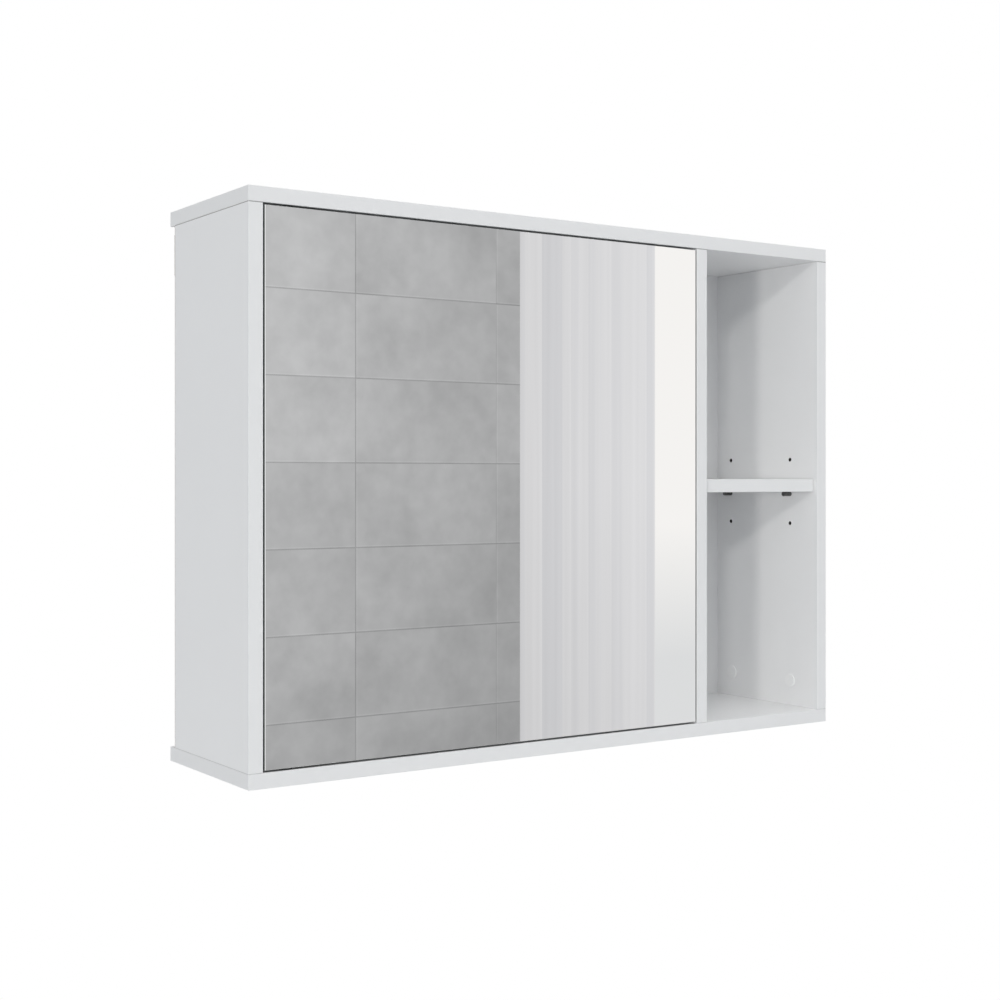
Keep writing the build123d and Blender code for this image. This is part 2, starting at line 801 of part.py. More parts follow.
def build():
    os.makedirs("parts", exist_ok=True)

    save("top_panel", top_panel())
    save("bottom_panel", bottom_panel())
    save("left_side_panel", left_side_panel())
    save("right_side_panel", right_side_panel())
    save("divider_panel", divider_panel())
    save("back_panel", back_panel())
    save("top_panel_edging", panel_edging(ceiling_z))
    save("bottom_panel_edging", panel_edging(0))
    save("left_side_edging", upright_edging(left_x))
    save("divider_edging", upright_edging(divider_left_x))
    save("right_side_edging", upright_edging(bay_right_x))

    save("wood_dowels", dowels())
    save("bottom_cam_housings", per_cam(cam_housing))
    save("bottom_cam_bolts", per_upright(cam_bolt))
    save("cam_cover_caps", per_cam(cam_cover_cap))
    save("top_connecting_screws", per_upright(top_screw))
    save("top_screw_caps", per_upright(top_screw_cap))
    save("back_panel_nails", nails())
    save("left_wall_hanger", wall_hanger(-1))
    save("right_wall_hanger", wall_hanger(1))
    save("wall_hanger_screws", hanger_screws())

    open_panel, open_strip = shelf(divider_right_x, bay_right_x, open_shelf_setback)
    save("open_shelf", open_panel)
    save("open_shelf_edging", open_strip)
    save("open_shelf_pins", shelf_pins(open_bay_faces))
    cabinet_panel, cabinet_strip = shelf(bay_left_x, divider_left_x, cabinet_shelf_setback)
    save("cabinet_shelf", cabinet_panel)
    save("cabinet_shelf_edging", cabinet_strip)
    save("cabinet_shelf_pins", shelf_pins(mirror_bay_faces))

    save("door_board", door_board())
    save("door_edging", door_edging())
    save("mirror_tape_strips", tape_strips())
    save("mirror_glass", mirror_glass())
    save("lower_pivot_leaf", pivot_leaf(*leaf_faces[0]))
    save("upper_pivot_leaf", pivot_leaf(*leaf_faces[1]))
    save("pivot_pins", [pivot_pin(*face) for face in leaf_faces])
    save("pivot_leaf_screws", leaf_screws())
    save("hinge_bushes", [hinge_bush(*face) for face in bush_faces])
    save("hinge_washers", [hinge_washer(*face) for face in bush_faces])
    save("strike_plate", strike_plate())
    save("strike_plate_screw", strike_screw())

    save("latch_housing", latch_housing())
    save("latch_plunger", latch_plunger())
    save("latch_magnet", latch_magnet())
    save("latch_spring", latch_spring())
    save("latch_screws", latch_screws())


build()
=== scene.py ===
import json
import math

import bmesh
import bpy
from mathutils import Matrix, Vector

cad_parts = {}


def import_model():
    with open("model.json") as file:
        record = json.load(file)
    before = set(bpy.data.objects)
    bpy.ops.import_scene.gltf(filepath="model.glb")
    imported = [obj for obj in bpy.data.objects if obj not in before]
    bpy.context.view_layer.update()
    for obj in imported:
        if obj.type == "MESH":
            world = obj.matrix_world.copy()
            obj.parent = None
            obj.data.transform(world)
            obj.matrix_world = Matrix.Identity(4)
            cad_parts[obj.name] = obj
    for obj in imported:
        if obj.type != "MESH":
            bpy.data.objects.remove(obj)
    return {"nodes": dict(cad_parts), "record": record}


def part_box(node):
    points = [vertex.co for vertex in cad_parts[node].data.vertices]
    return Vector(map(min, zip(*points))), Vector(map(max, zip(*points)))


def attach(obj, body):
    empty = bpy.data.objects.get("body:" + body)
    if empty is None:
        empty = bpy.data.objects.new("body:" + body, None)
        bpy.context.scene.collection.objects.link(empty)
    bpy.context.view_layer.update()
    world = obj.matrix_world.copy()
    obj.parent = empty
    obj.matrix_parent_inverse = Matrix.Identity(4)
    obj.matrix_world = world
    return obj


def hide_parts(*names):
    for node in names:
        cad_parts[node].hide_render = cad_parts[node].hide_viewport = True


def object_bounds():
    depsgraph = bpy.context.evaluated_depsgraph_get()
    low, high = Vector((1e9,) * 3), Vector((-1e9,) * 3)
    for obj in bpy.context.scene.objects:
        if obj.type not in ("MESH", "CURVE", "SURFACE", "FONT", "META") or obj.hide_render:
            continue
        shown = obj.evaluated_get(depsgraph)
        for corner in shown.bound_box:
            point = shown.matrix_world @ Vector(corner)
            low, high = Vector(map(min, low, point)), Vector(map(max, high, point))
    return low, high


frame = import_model()
cad_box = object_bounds()
nodes = frame["nodes"]
body_of_node = {
    node: body
    for body, members in frame["record"]["behaviour"]["bodies"].items()
    for node in members
}

BLACK = (0.0, 0.0, 0.0)
WHITE = (1.0, 1.0, 1.0)
MERGE_DISTANCE = 1e-6

# The photograph's camera, in metres and degrees, with its horizon in pixels
CAMERA_PLACE = (-1.0638, -1.6304, 0.3098)
CAMERA_PAN = 33.97
CAMERA_LENS_MM = 56.70
CAMERA_REACH = 50.0
SENSOR_MM = 36.0
FRAME_PIXELS = 1000.0
HORIZON_PIXEL = 477.65

# Floor, in metres
FLOOR_MIDDLE = (-0.4, -0.6, -1.15)
FLOOR_RADIUS = 3.2
FLOOR_FADE_START = 0.55 * FLOOR_RADIUS
FLOOR_SIDES = 96
FLOOR_COLOUR = (0.86, 0.86, 0.86)
FLOOR_ROUGHNESS = 0.9
FLOOR_GLOW = 0.16

# Glowing cards that only mirror-like surfaces see, a painted reflection for the mirror, in metres
CARD_Y = -3.68
CARD_LOW_Z = -2.4
CARD_HIGH_Z = 3.2
PANEL_CARD_X = (-7.0, 2.336)
PLEAT_CARD_X = (2.336, 2.997)
BRIGHT_CARD_X = (2.997, 8.0)
PANEL_SIZE = (0.6, 0.3)
PANEL_ORIGIN = (1.626, 0.06)
PANEL_JOINT = 0.0045
PANEL_SHIFT = (3.7, 5.3, 2.9)
PANEL_TINT = (0.998, 0.998, 1.005)
PANEL_CLOUDS = 2.8
PANEL_GRIT = 16.0
PANEL_RIM_HIGHLIGHT = 1.07
PANEL_JOINT_TONE = 0.70
PLEAT = 0.125
PLEAT_COOL = (0.998, 0.994, 1.018)
PLEAT_WARM = (1.006, 0.996, 1.006)
PLEAT_DRIFT = 5.0
PLEAT_CLOUDS = 7.0
PLEAT_THREADS = 40.0
BRIGHT_LOW = (0.76, 0.765, 0.77)
BRIGHT_HIGH = (0.975, 0.955, 0.935)

# Lights: strengths and tints, then distances and sizes in metres
WORLD_LIGHT = 0.325
SHADE_TINT = (0.94, 1.0, 1.075)
LAMP_TINT = (1.0, 0.985, 0.955)
CABINET_MIDDLE = (0.0, -0.1, 0.3)
FAR = 8.0
NEAR = 5.0
CLOSE = 1.25
SMALL_LIGHT = 0.75
LARGE_LIGHT = 3.0


class Paint:
    """A principled material, with short calls for the nodes that drive it."""

    def __init__(self, name, colour=(0.8, 0.8, 0.8), roughness=0.5, metallic=0.0):
        self.material = bpy.data.materials.new(name)
        self.material.use_nodes = True
        self.tree = self.material.node_tree
        self.shader = self.tree.nodes["Principled BSDF"]
        self.set("Base Color", (*colour, 1.0))
        self.set("Roughness", roughness)
        self.set("Metallic", metallic)
        self.place = self.add("ShaderNodeTexCoord").outputs

    def set(self, name, value):
        """A constant on the shader's own socket, or a link from another node."""
        socket = self.shader.inputs[name]
        if isinstance(value, bpy.types.NodeSocket):
            self.tree.links.new(value, socket)
        else:
            socket.default_value = value

    def add(self, kind, inputs=(), **settings):
        """A new node with its settings, whose inputs are numbers or links."""
        node = self.tree.nodes.new(kind)
        for name, value in settings.items():
            setattr(node, name, value)
        for key, value in dict(inputs).items():
            if isinstance(value, bpy.types.NodeSocket):
                self.tree.links.new(value, node.inputs[key])
            else:
                node.inputs[key].default_value = value
        return node

    def math(self, operation, first, second=0.0):
        return self.add("ShaderNodeMath", {0: first, 1: second}, operation=operation).outputs[0]

    def mix(self, share, first, second):
        """Colour that goes from first to second as share goes from 0 to 1."""
        node = self.add("ShaderNodeMix", data_type="RGBA")
        for index, value in ((0, share), (6, first), (7, second)):
            socket = node.inputs[index]
            if isinstance(value, bpy.types.NodeSocket):
                self.tree.links.new(value, socket)
            elif isinstance(value, tuple):
                socket.default_value = (*value, 1.0)
            else:
                socket.default_value = value
        return node.outputs[2]

    def scaled(self, colour, tone):
        """colour times tone, a number that varies over the surface."""
        inputs = {0: colour, 3: tone}
        return self.add("ShaderNodeVectorMath", inputs, operation="SCALE").outputs[0]

    def ramp(self, value, low, high, start=0.0, end=1.0):
        """value rescaled so that start to end becomes low to high."""
        inputs = {0: value, 1: start, 2: end, 3: low, 4: high}
        return self.add("ShaderNodeMapRange", inputs).outputs[0]

    def noise(self, scale, detail=3.0, stretch=(1.0, 1.0, 1.0), place=None):
        """Noise in the row frame, in features per metre, squeezed along each axis."""
        start = self.place["Object"] if place is None else place
        mapped = self.add("ShaderNodeMapping", {0: start, 3: stretch}).outputs[0]
        inputs = {"Vector": mapped, "Scale": scale, "Detail": detail}
        return self.add("ShaderNodeTexNoise", inputs).outputs[0]

    def axis(self, letter, source="Object"):
        """One coordinate of the place on the surface, or of its normal."""
        split = self.add("ShaderNodeSeparateXYZ", {0: self.place[source]})
        return split.outputs["XYZ".index(letter)]

    def between(self, value, low, high):
        """1 where value is above low and below high, 0 elsewhere."""
        above = self.math("GREATER_THAN", value, low)
        return self.math("MULTIPLY", above, self.math("LESS_THAN", value, high))

    def bump(self, height, distance, strength=1.0):
        inputs = {"Height": height, "Distance": distance, "Strength": strength}
        self.set("Normal", self.add("ShaderNodeBump", inputs).outputs[0])


def paint_node(node, paint):
    """Give a carried-over CAD node its material."""
    materials = nodes[node].data.materials
    materials.clear()
    materials.append(paint.material)


# Board materials: colours, widths and depths in metres, and features per metre

MELAMINE = (0.882, 0.885, 0.89)
BAND = (0.838, 0.842, 0.848)
CHIP_PALE = (0.52, 0.40, 0.27)
CHIP_DARK = (0.26, 0.18, 0.11)
# Near black for the hair-fine seams, and for the painted shade in the joints and in the drilled holes
SEAM_AND_SHADE_DARK = (0.035, 0.03, 0.028)
FIBRE_PALE = (0.30, 0.19, 0.11)
FIBRE_DARK = (0.19, 0.11, 0.06)
FIBRE_CLOUD = (0.36, 0.25, 0.16)
SKIN = 0.00012
SEAM = 0.00022
SEAM_SHADE = 0.35
# Widths and strengths of the painted shade in the joints at the ends of the uprights
UPPER_JOINT = 0.0008
UPPER_JOINT_SHADE = 0.6
LOWER_JOINT = 0.0004
LOWER_JOINT_SHADE = 0.4
INSIDE_JOINT_SHADE = 0.35
CLOUDING = 0.012
BOARD_CLOUDS = 9.0
BOARD_GRAIN = 260.0
BOARD_PEARL = 2400.0
BOARD_ROUGHNESS = (0.32, 0.40)
CORE_ROUGHNESS = 0.45
CORE_GRAIN = 900.0
CORE_RELIEF = 6.0
CHIP_FLAKES = 700.0
CHIP_DUST = 1500.0
BAND_CLOUDS = 14.0
BAND_LINES = 1800.0
BAND_STRETCH = 0.02
BAND_ROUGHNESS = (0.24, 0.36)
BACK_FIBRES = 420.0
BACK_CLOUDS = 7.0
BACK_GRAIN = 1600.0
BACK_SCREEN = 5200.0
BACK_ROUGHNESS = (0.4, 0.7)
FINE_RELIEF = 0.00003
FINEST_RELIEF = 0.00002


def chipboard(paint):
    """Pressed wood chips: pale and dark flakes of about a millimetre."""
    flakes = paint.add("ShaderNodeTexVoronoi", {"Vector": paint.place["Object"], "Scale": CHIP_FLAKES})
    fine = paint.noise(CHIP_DUST)
    share = paint.math("MULTIPLY", paint.math("ADD", flakes.outputs[0], fine), 0.7)
    return paint.mix(share, CHIP_PALE, CHIP_DARK)


def joint_shade(paint, low, high):
    """Share of painted shade in the narrow joints where an upright meets the bottom and the top: a dark
    gap, with painted shade for the shadow in it.

    The painted shade is weaker inside the cabinet than on its outer side faces and front edges.
    """
    from_middle = paint.math("ABSOLUTE", paint.axis("X"))
    side = paint.math("GREATER_THAN", from_middle, cad_box[1][0] - SKIN)
    front = paint.math("LESS_THAN", paint.axis("Y"), cad_box[0][1] + SKIN)
    shade_strength = paint.ramp(paint.math("MAXIMUM", side, front), INSIDE_JOINT_SHADE, 1.0)
    place = paint.axis("Z")
    at_top = paint.math("GREATER_THAN", place, high[2] - UPPER_JOINT)
    at_bottom = paint.math("LESS_THAN", place, low[2] + LOWER_JOINT)
    upper = paint.math("MULTIPLY", at_top, UPPER_JOINT_SHADE)
    lower = paint.math("MULTIPLY", at_bottom, LOWER_JOINT_SHADE)
    return paint.math("MULTIPLY", paint.math("MAXIMUM", upper, lower), shade_strength)


def melamine_board(node, across):
    """White melamine on the two faces across the board, bare chipboard on its other edges, and painted
    shade, near black, on the walls of the holes drilled into it.

    across is the letter of the thin direction. A hair-fine seam shows where the front
    edge meets its edge strip.
    """
    low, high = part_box(node)
    index = "XYZ".index(across)
    paint = Paint(f"melamine_{node}", MELAMINE, 0.36)
    depth = paint.axis(across)
    core = paint.between(depth, low[index] + SKIN, high[index] - SKIN)
    tone = paint.ramp(paint.noise(BOARD_CLOUDS), 1.0 - CLOUDING, 1.0 + CLOUDING)
    white = paint.scaled(MELAMINE, tone)
    if across != "Y":
        seam = paint.math("LESS_THAN", paint.axis("Y"), low[1] + SEAM)
        white = paint.mix(paint.math("MULTIPLY", seam, SEAM_SHADE), white, SEAM_AND_SHADE_DARK)
    # Painted shade where the upright meets the top and the bottom: a dark gap and its shadow.
    if across == "X":
        white = paint.mix(joint_shade(paint, low, high), white, SEAM_AND_SHADE_DARK)
    # The walls of the drilled holes get painted shade, near black, in place of chipboard.
    bare = paint.mix(end_faces(paint, low, high, across), SEAM_AND_SHADE_DARK, chipboard(paint))
    paint.set("Base Color", paint.mix(core, white, bare))
    grain = paint.ramp(paint.noise(BOARD_GRAIN), *BOARD_ROUGHNESS)
    rougher = paint.math("MULTIPLY", core, CORE_ROUGHNESS)
    paint.set("Roughness", paint.math("ADD", grain, rougher))
    pearl = paint.noise(BOARD_PEARL, detail=1.0)
    deeper = paint.math("MULTIPLY", core, CORE_RELIEF)
    chips = paint.math("MULTIPLY", paint.noise(CORE_GRAIN), deeper)
    paint.bump(paint.math("ADD", pearl, chips), FINE_RELIEF, strength=0.6)
    paint_node(node, paint)


def end_faces(paint, low, high, across):
    """1 on the board's outer edges, 0 on the walls of the holes drilled into it."""
    total = None
    for letter in "XYZ".replace(across, ""):
        index = "XYZ".index(letter)
        place = paint.axis(letter)
        for edge in (low[index], high[index]):
            near = paint.between(place, edge - SKIN, edge + SKIN)
            total = near if total is None else paint.math("MAXIMUM", total, near)
    return total


UPRIGHT_BANDS = ("left_side_edging", "divider_edging", "right_side_edging")


def edge_band(node, along):
    """Plastic edge strip: satin, with faint scraper lines that run along it."""
    paint = Paint(f"edge_band_{node}", BAND, 0.3)
    stretch = tuple(BAND_STRETCH if letter == along else 1.0 for letter in "XYZ")
    lines = paint.noise(BAND_LINES, stretch=stretch)
    tone = paint.ramp(paint.noise(BAND_CLOUDS), 1.0 - CLOUDING, 1.0 + CLOUDING)
    white = paint.scaled(BAND, tone)
    # Painted shade at the ends of the upright strips, where they meet the top and the bottom.
    if node in UPRIGHT_BANDS:
        white = paint.mix(joint_shade(paint, *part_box(node)), white, SEAM_AND_SHADE_DARK)
    paint.set("Base Color", white)
    paint.set("Roughness", paint.ramp(lines, *BAND_ROUGHNESS))
    paint.bump(lines, FINEST_RELIEF, strength=0.5)
    paint_node(node, paint)


def back_board(node):
    """White in front, bare pressed fibre behind and on its edges."""
    low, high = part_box(node)
    paint = Paint("back_board", MELAMINE, 0.45)
    bare = paint.math("GREATER_THAN", paint.axis("Y"), low[1] + SKIN)
    fibre = paint.mix(paint.noise(BACK_FIBRES, detail=6.0), FIBRE_PALE, FIBRE_DARK)
    cloud = paint.mix(paint.ramp(paint.noise(BACK_CLOUDS), 0.0, 0.25), fibre, FIBRE_CLOUD)
    paint.set("Base Color", paint.mix(bare, MELAMINE, cloud))
    paint.set("Roughness", paint.ramp(bare, *BACK_ROUGHNESS))
    weave = paint.math("SINE", paint.math("MULTIPLY", paint.axis("X"), BACK_SCREEN))
    weft = paint.math("SINE", paint.math("MULTIPLY", paint.axis("Z"), BACK_SCREEN))
    pressed = paint.math("MULTIPLY", bare, 0.4)
    screen = paint.math("MULTIPLY", paint.math("ADD", weave, weft), pressed)
    paint.bump(paint.math("ADD", screen, paint.noise(BACK_GRAIN)), FINE_RELIEF, strength=0.5)
    paint_node(node, paint)


# Mirror, metal, plastic and wood materials: colours, then shares and features per metre

# Ground glass edges: their own dark green, darker still as painted shade from the gap round the door
SHADED_GLASS_EDGE = (0.035, 0.055, 0.05)
SHADED_GLASS_EDGE_PALE = (0.09, 0.13, 0.12)
SILVER = (0.93, 0.935, 0.935)
SILVER_CLOUD = (0.9, 0.91, 0.92)
BACK_PAINT = (0.16, 0.2, 0.22)
ZINC = (0.70, 0.70, 0.68)
HANGER_ZINC = (0.68, 0.68, 0.66)
NICKEL = (0.66, 0.64, 0.60)
DARK_NICKEL = (0.16, 0.16, 0.155)
MAGNET = (0.42, 0.42, 0.43)
NAIL_STEEL = (0.55, 0.55, 0.56)
SPRING_STEEL = (0.55, 0.56, 0.58)
CAP_WHITE = (0.915, 0.918, 0.92)
NYLON = (0.02, 0.02, 0.021)
LATCH_GREY = (0.74, 0.75, 0.76)
FOAM = (0.78, 0.77, 0.72)
FOAM_PALE = (0.82, 0.81, 0.77)
FOAM_DARK = (0.62, 0.61, 0.56)
BEECH = (0.66, 0.47, 0.28)
BEECH_PALE = (0.68, 0.5, 0.31)
BEECH_PORE = (0.42, 0.27, 0.14)
EDGE_GRAIN = 300.0
EDGE_ROUGHNESS = 0.25
SILVER_CLOUDS = 3.0
MIRROR_SMEARS = 30.0
MIRROR_HAZE = 0.014
METAL_GRAIN = 320.0
METAL_DULL = 0.72
METAL_STRETCH = 0.03
PLASTIC_GRAIN = 900.0
PLASTIC_CLOUDS = 120.0
FOAM_CELLS = 2500.0
FOAM_RELIEF = 0.0002
WOOD_PORES = 900.0
WOOD_STRETCH = (1.0, 1.0, 0.08)
WOOD_RELIEF = 0.0001


def mirror(node):
    """Silvered glass: clear reflection in front, painted back, and dark green ground edges, darkened
    further with painted shade from the gap round the door.
    """
    low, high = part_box(node)
    paint = Paint("mirror_glass", SILVER, 0.0, 1.0)
    facing = paint.math("ABSOLUTE", paint.axis("Y", "Normal"))
    front = paint.math("GREATER_THAN", facing, 0.5)
    back = paint.math("GREATER_THAN", paint.axis("Y"), high[1] - SKIN)
    edge = paint.mix(paint.noise(EDGE_GRAIN), SHADED_GLASS_EDGE, SHADED_GLASS_EDGE_PALE)
    silver = paint.mix(paint.ramp(paint.noise(SILVER_CLOUDS), 0.0, 0.02), SILVER, SILVER_CLOUD)
    face = paint.mix(back, silver, BACK_PAINT)
    paint.set("Base Color", paint.mix(front, edge, face))
    clear = paint.math("MULTIPLY", front, paint.math("SUBTRACT", 1.0, back))
    paint.set("Metallic", clear)
    haze = paint.ramp(paint.noise(MIRROR_SMEARS, detail=5.0), 0.0, MIRROR_HAZE)
    paint.set("Roughness", paint.math("ADD", haze, paint.ramp(clear, EDGE_ROUGHNESS, 0.0)))
    paint_node(node, paint)


def metal(name, colour, roughness, scale=METAL_GRAIN, brushed=None):
    """Plated steel: patchy tone and roughness, brushed along one axis if given."""
    paint = Paint(name, colour, roughness, 1.0)
    stretch = tuple(METAL_STRETCH if letter == brushed else 1.0 for letter in "XYZ")
    grain = paint.noise(scale, detail=5.0, stretch=stretch)
    patches = paint.ramp(grain, 0.0, 1.0, start=0.35, end=0.75)
    dull = tuple(METAL_DULL * part for part in colour)
    paint.set("Base Color", paint.mix(patches, colour, dull))
    paint.set("Roughness", paint.ramp(grain, roughness - 0.08, roughness + 0.14))
    paint.bump(paint.noise(scale * 5, stretch=stretch), FINEST_RELIEF, strength=0.5)
    return paint


def plastic(name, colour, roughness):
    """Moulded plastic: fine spark-eroded grain and slight clouding."""
    paint = Paint(name, colour, roughness)
    tone = paint.ramp(paint.noise(PLASTIC_CLOUDS), 0.97, 1.02)
    paint.set("Base Color", paint.scaled(colour, tone))
    grain = paint.noise(PLASTIC_GRAIN)
    paint.set("Roughness", paint.ramp(grain, roughness - 0.05, roughness + 0.08))
    paint.bump(paint.noise(PLASTIC_GRAIN * 3, detail=1.0), FINEST_RELIEF, strength=0.5)
    return paint


def foam_tape(name):
    """Pale matt foam with small open cells."""
    paint = Paint(name, FOAM, 0.8)
    inputs = {"Vector": paint.place["Object"], "Scale": FOAM_CELLS}
    cells = paint.add("ShaderNodeTexVoronoi", inputs).outputs[0]
    paint.set("Base Color", paint.mix(cells, FOAM_PALE, FOAM_DARK))
    paint.bump(cells, FOAM_RELIEF)
    return paint


def beech(name):
    """Pale wood with short dark pores along the dowels."""
    paint = Paint(name, BEECH, 0.55)
    pores = paint.noise(WOOD_PORES, detail=6.0, stretch=WOOD_STRETCH)
    share = paint.ramp(pores, 0.0, 1.0, start=0.4, end=0.7)
    paint.set("Base Color", paint.mix(share, BEECH_PALE, BEECH_PORE))
    paint.bump(pores, WOOD_RELIEF)
    return paint


# Modelled pieces: screws and dowels in shares of their own sizes, and angles in degrees

HEAD_ROUND = 0.12
HEAD_STEPS = 8
HEAD_SIDES = 48
DOME_START = 0.18
THREAD_PITCH = 0.55
THREAD_CORE = 0.72
TIP_LENGTH = 2.2
TIP_BLUNT = 0.08
SHANK_SIDES = 24
RINGS_PER_TURN = 6
RECESS_DEPTH = 0.62
RECESS_REACH = 0.52
RECESS_WIDTH = 0.11
RECESS_LIFT = 0.1
RECESS_OPEN = 1.06
RECESS_FLOOR = 0.45
DOWEL_FLUTES = 16
DOWEL_CHAMFER = 0.2
DOWEL_STEPS = 24
FLUTE_DEPTH = 0.05
SIDES_PER_FLUTE = 8
SMOOTH_BELOW = 35
ARRIS_ABOVE = 40


def loose_boxes(node):
    """Lowest and highest corner of each separate solid in a CAD node."""
    mesh = nodes[node].data
    shape = bmesh.new()
    shape.from_mesh(mesh)
    bmesh.ops.remove_doubles(shape, verts=shape.verts, dist=MERGE_DISTANCE)
    left = set(shape.verts)
    boxes = []
    while left:
        group = {left.pop()}
        front = list(group)
        while front:
            near = {edge.other_vert(vert) for vert in front for edge in vert.link_edges} - group
            group |= near
            front = list(near)
        left -= group
        corners = [vert.co for vert in group]
        low = Vector([min(c[i] for c in corners) for i in range(3)])
        high = Vector([max(c[i] for c in corners) for i in range(3)])
        boxes.append((low, high))
    shape.free()
    return sorted(boxes, key=lambda box: tuple(round(part, 5) for part in box[0]))


def lathe(rings, segments, radius_at):
    """A closed mesh round Z. rings are heights; radius_at(height, angle) gives the radius."""
    shape = bmesh.new()
    rows = []
    for height in rings:
        row = []
        for index in range(segments):
            angle = 2 * math.pi * index / segments
            radius = radius_at(height, angle)
            row.append(shape.verts.new((radius * math.cos(angle), radius * math.sin(angle), height)))
        rows.append(row)
    for lower, upper in zip(rows, rows[1:]):
        for index in range(segments):
            after = (index + 1) % segments
            shape.faces.new((lower[index], lower[after], upper[after], upper[index]))
    shape.faces.new(list(reversed(rows[0])))
    shape.faces.new(rows[-1])
    bmesh.ops.recalc_face_normals(shape, faces=shape.faces)
    mesh = bpy.data.meshes.new("lathe")
    shape.to_mesh(mesh)
    shape.free()
    return mesh


def cut(target, cutters):
    """Subtract meshes from a mesh and return the result as a new mesh."""
    thing = bpy.data.objects.new("cut_target", target)
    bpy.context.scene.collection.objects.link(thing)
    made = []
    for mesh in cutters:
        cutter = bpy.data.objects.new("cutter", mesh)
        bpy.context.scene.collection.objects.link(cutter)
        modifier = thing.modifiers.new("cut", "BOOLEAN")
        modifier.object = cutter
        modifier.operation = "DIFFERENCE"
        modifier.solver = "EXACT"
        made.append(cutter)
    bpy.context.view_layer.update()
    depsgraph = bpy.context.evaluated_depsgraph_get()
    result = bpy.data.meshes.new_from_object(thing.evaluated_get(depsgraph))
    for item in (thing, *made):
        bpy.data.objects.remove(item)
    return result


def wedge(half_length, half_width, depth):
    """A bar with ends that draw in towards the bottom, for one arm of a cross recess."""
    shape = bmesh.new()
    corners = []
    for height, share in ((depth * RECESS_LIFT, RECESS_OPEN), (-depth, RECESS_FLOOR)):
        for x, y in ((-1, -1), (1, -1), (1, 1), (-1, 1)):
            place = (x * half_length * share, y * half_width, height)
            corners.append(shape.verts.new(place))
    upper, lower = corners[:4], corners[4:]
    shape.faces.new(upper)
    shape.faces.new(list(reversed(lower)))
    for index in range(4):
        after = (index + 1) % 4
        shape.faces.new((upper[after], upper[index], lower[index], lower[after]))
    bmesh.ops.recalc_face_normals(shape, faces=shape.faces)
    mesh = bpy.data.meshes.new("wedge")
    shape.to_mesh(mesh)
    shape.free()
    return mesh


def turned(mesh, angle):
    """The same mesh turned about Z."""
    copy = mesh.copy()
    across, along = math.cos(angle), math.sin(angle)
    for vert in copy.vertices:
        x, y, z = vert.co
        vert.co = (x * across - y * along, x * along + y * across, z)
    return copy


def screw_mesh(head_radius, head_height, shank_radius, length, domed):
    """A cross-recess screw along -Z, with the middle of its head's top at the origin."""
    round_edge = HEAD_ROUND * head_height
    pitch = THREAD_PITCH * shank_radius
    core = THREAD_CORE * shank_radius
    tip = TIP_LENGTH * shank_radius

    def head_at(height, angle):
        from_top = -height
        if domed:
            share = min(1.0, from_top / head_height + DOME_START)
            return head_radius * math.sqrt(max(0.0, 1.0 - (1.0 - share) ** 2))
        if from_top < round_edge:
            return head_radius - round_edge + from_top
        share = (from_top - round_edge) / (head_height - round_edge)
        return head_radius + (shank_radius - head_radius) * share

    def shank_at(height, angle):
        down = -height - head_height
        turn = (down / pitch + angle / (2 * math.pi)) % 1.0
        ridge = max(0.0, 1.0 - abs(turn - 0.5) * 4.0)
        taper = min(1.0, (length + height) / tip + TIP_BLUNT)
        return (core + (shank_radius - core) * ridge) * taper

    head_rings = [-head_height * index / HEAD_STEPS for index in range(HEAD_STEPS, -1, -1)]
    head = lathe(head_rings, HEAD_SIDES, head_at)
    reach = RECESS_REACH * head_radius
    arm = wedge(reach, RECESS_WIDTH * head_radius, RECESS_DEPTH * head_height)
    head = cut(head, [arm, turned(arm, math.pi / 2)])
    threaded = length - head_height
    count = round(threaded / pitch * RINGS_PER_TURN)
    shank_rings = [-length + threaded * index / count for index in range(count + 1)]
    shank = lathe(shank_rings, SHANK_SIDES, shank_at)
    return head, shank


def placed(name, meshes, spots):
    """One object made of copies of the meshes; each spot is a point and the way -Z points."""
    shape = bmesh.new()
    for point, direction in spots:
        turn = Vector((0, 0, -1)).rotation_difference(Vector(direction)).to_matrix().to_4x4()
        for mesh in meshes:
            start = len(shape.verts)
            shape.from_mesh(mesh)
            shape.verts.ensure_lookup_table()
            fresh = shape.verts[start:]
            bmesh.ops.transform(shape, matrix=turn, verts=fresh)
            bmesh.ops.translate(shape, vec=point, verts=fresh)
    result = bpy.data.meshes.new(name)
    shape.to_mesh(result)
    shape.free()
    for polygon in result.polygons:
        polygon.use_smooth = True
    result.set_sharp_from_angle(angle=math.radians(SMOOTH_BELOW))
    thing = bpy.data.objects.new(name, result)
    bpy.context.scene.collection.objects.link(thing)
    return thing


def stand_for(thing, node, paint):
    """The thing replaces a CAD node, rides on its body and takes the given finish."""
    thing.data.materials.clear()
    thing.data.materials.append(paint.material)
    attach(thing, body_of_node[node])
    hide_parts(node)


# Screw shanks as a share of their heads, and the heights of the heads in metres
SHANK_SHARE = 0.53
SMALL_HEAD = 0.0016
THIN_HEAD = 0.0007
HANGER_HEAD = 0.002


def screws(node, driven, head_height, paint, domed=False):
    """Cross-recess screws in place of a CAD node's plain ones.

    driven is the way they are driven in, or a function of a screw's middle that gives it.
    """
    spots = []
    for low, high in loose_boxes(node):
        middle = (low + high) / 2
        direction = driven(middle) if callable(driven) else driven
        axis = max(range(3), key=lambda i: abs(direction[i]))
        across = (axis + 1) % 3
        length = high[axis] - low[axis]
        head_radius = (high[across] - low[across]) / 2
        middle[axis] = high[axis] if direction[axis] < 0 else low[axis]
        spots.append((middle, direction))
    meshes = screw_mesh(head_radius, head_height, head_radius * SHANK_SHARE, length, domed)
    stand_for(placed(f"{node}_cross_head", meshes, spots), node, paint)


def into_door_edge(middle):
    """Leaf screws go up into the door's bottom edge and down into its top edge."""
    door_low, door_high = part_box("door_board")
    return (0, 0, 1) if middle.z < (door_low[2] + door_high[2]) / 2 else (0, 0, -1)


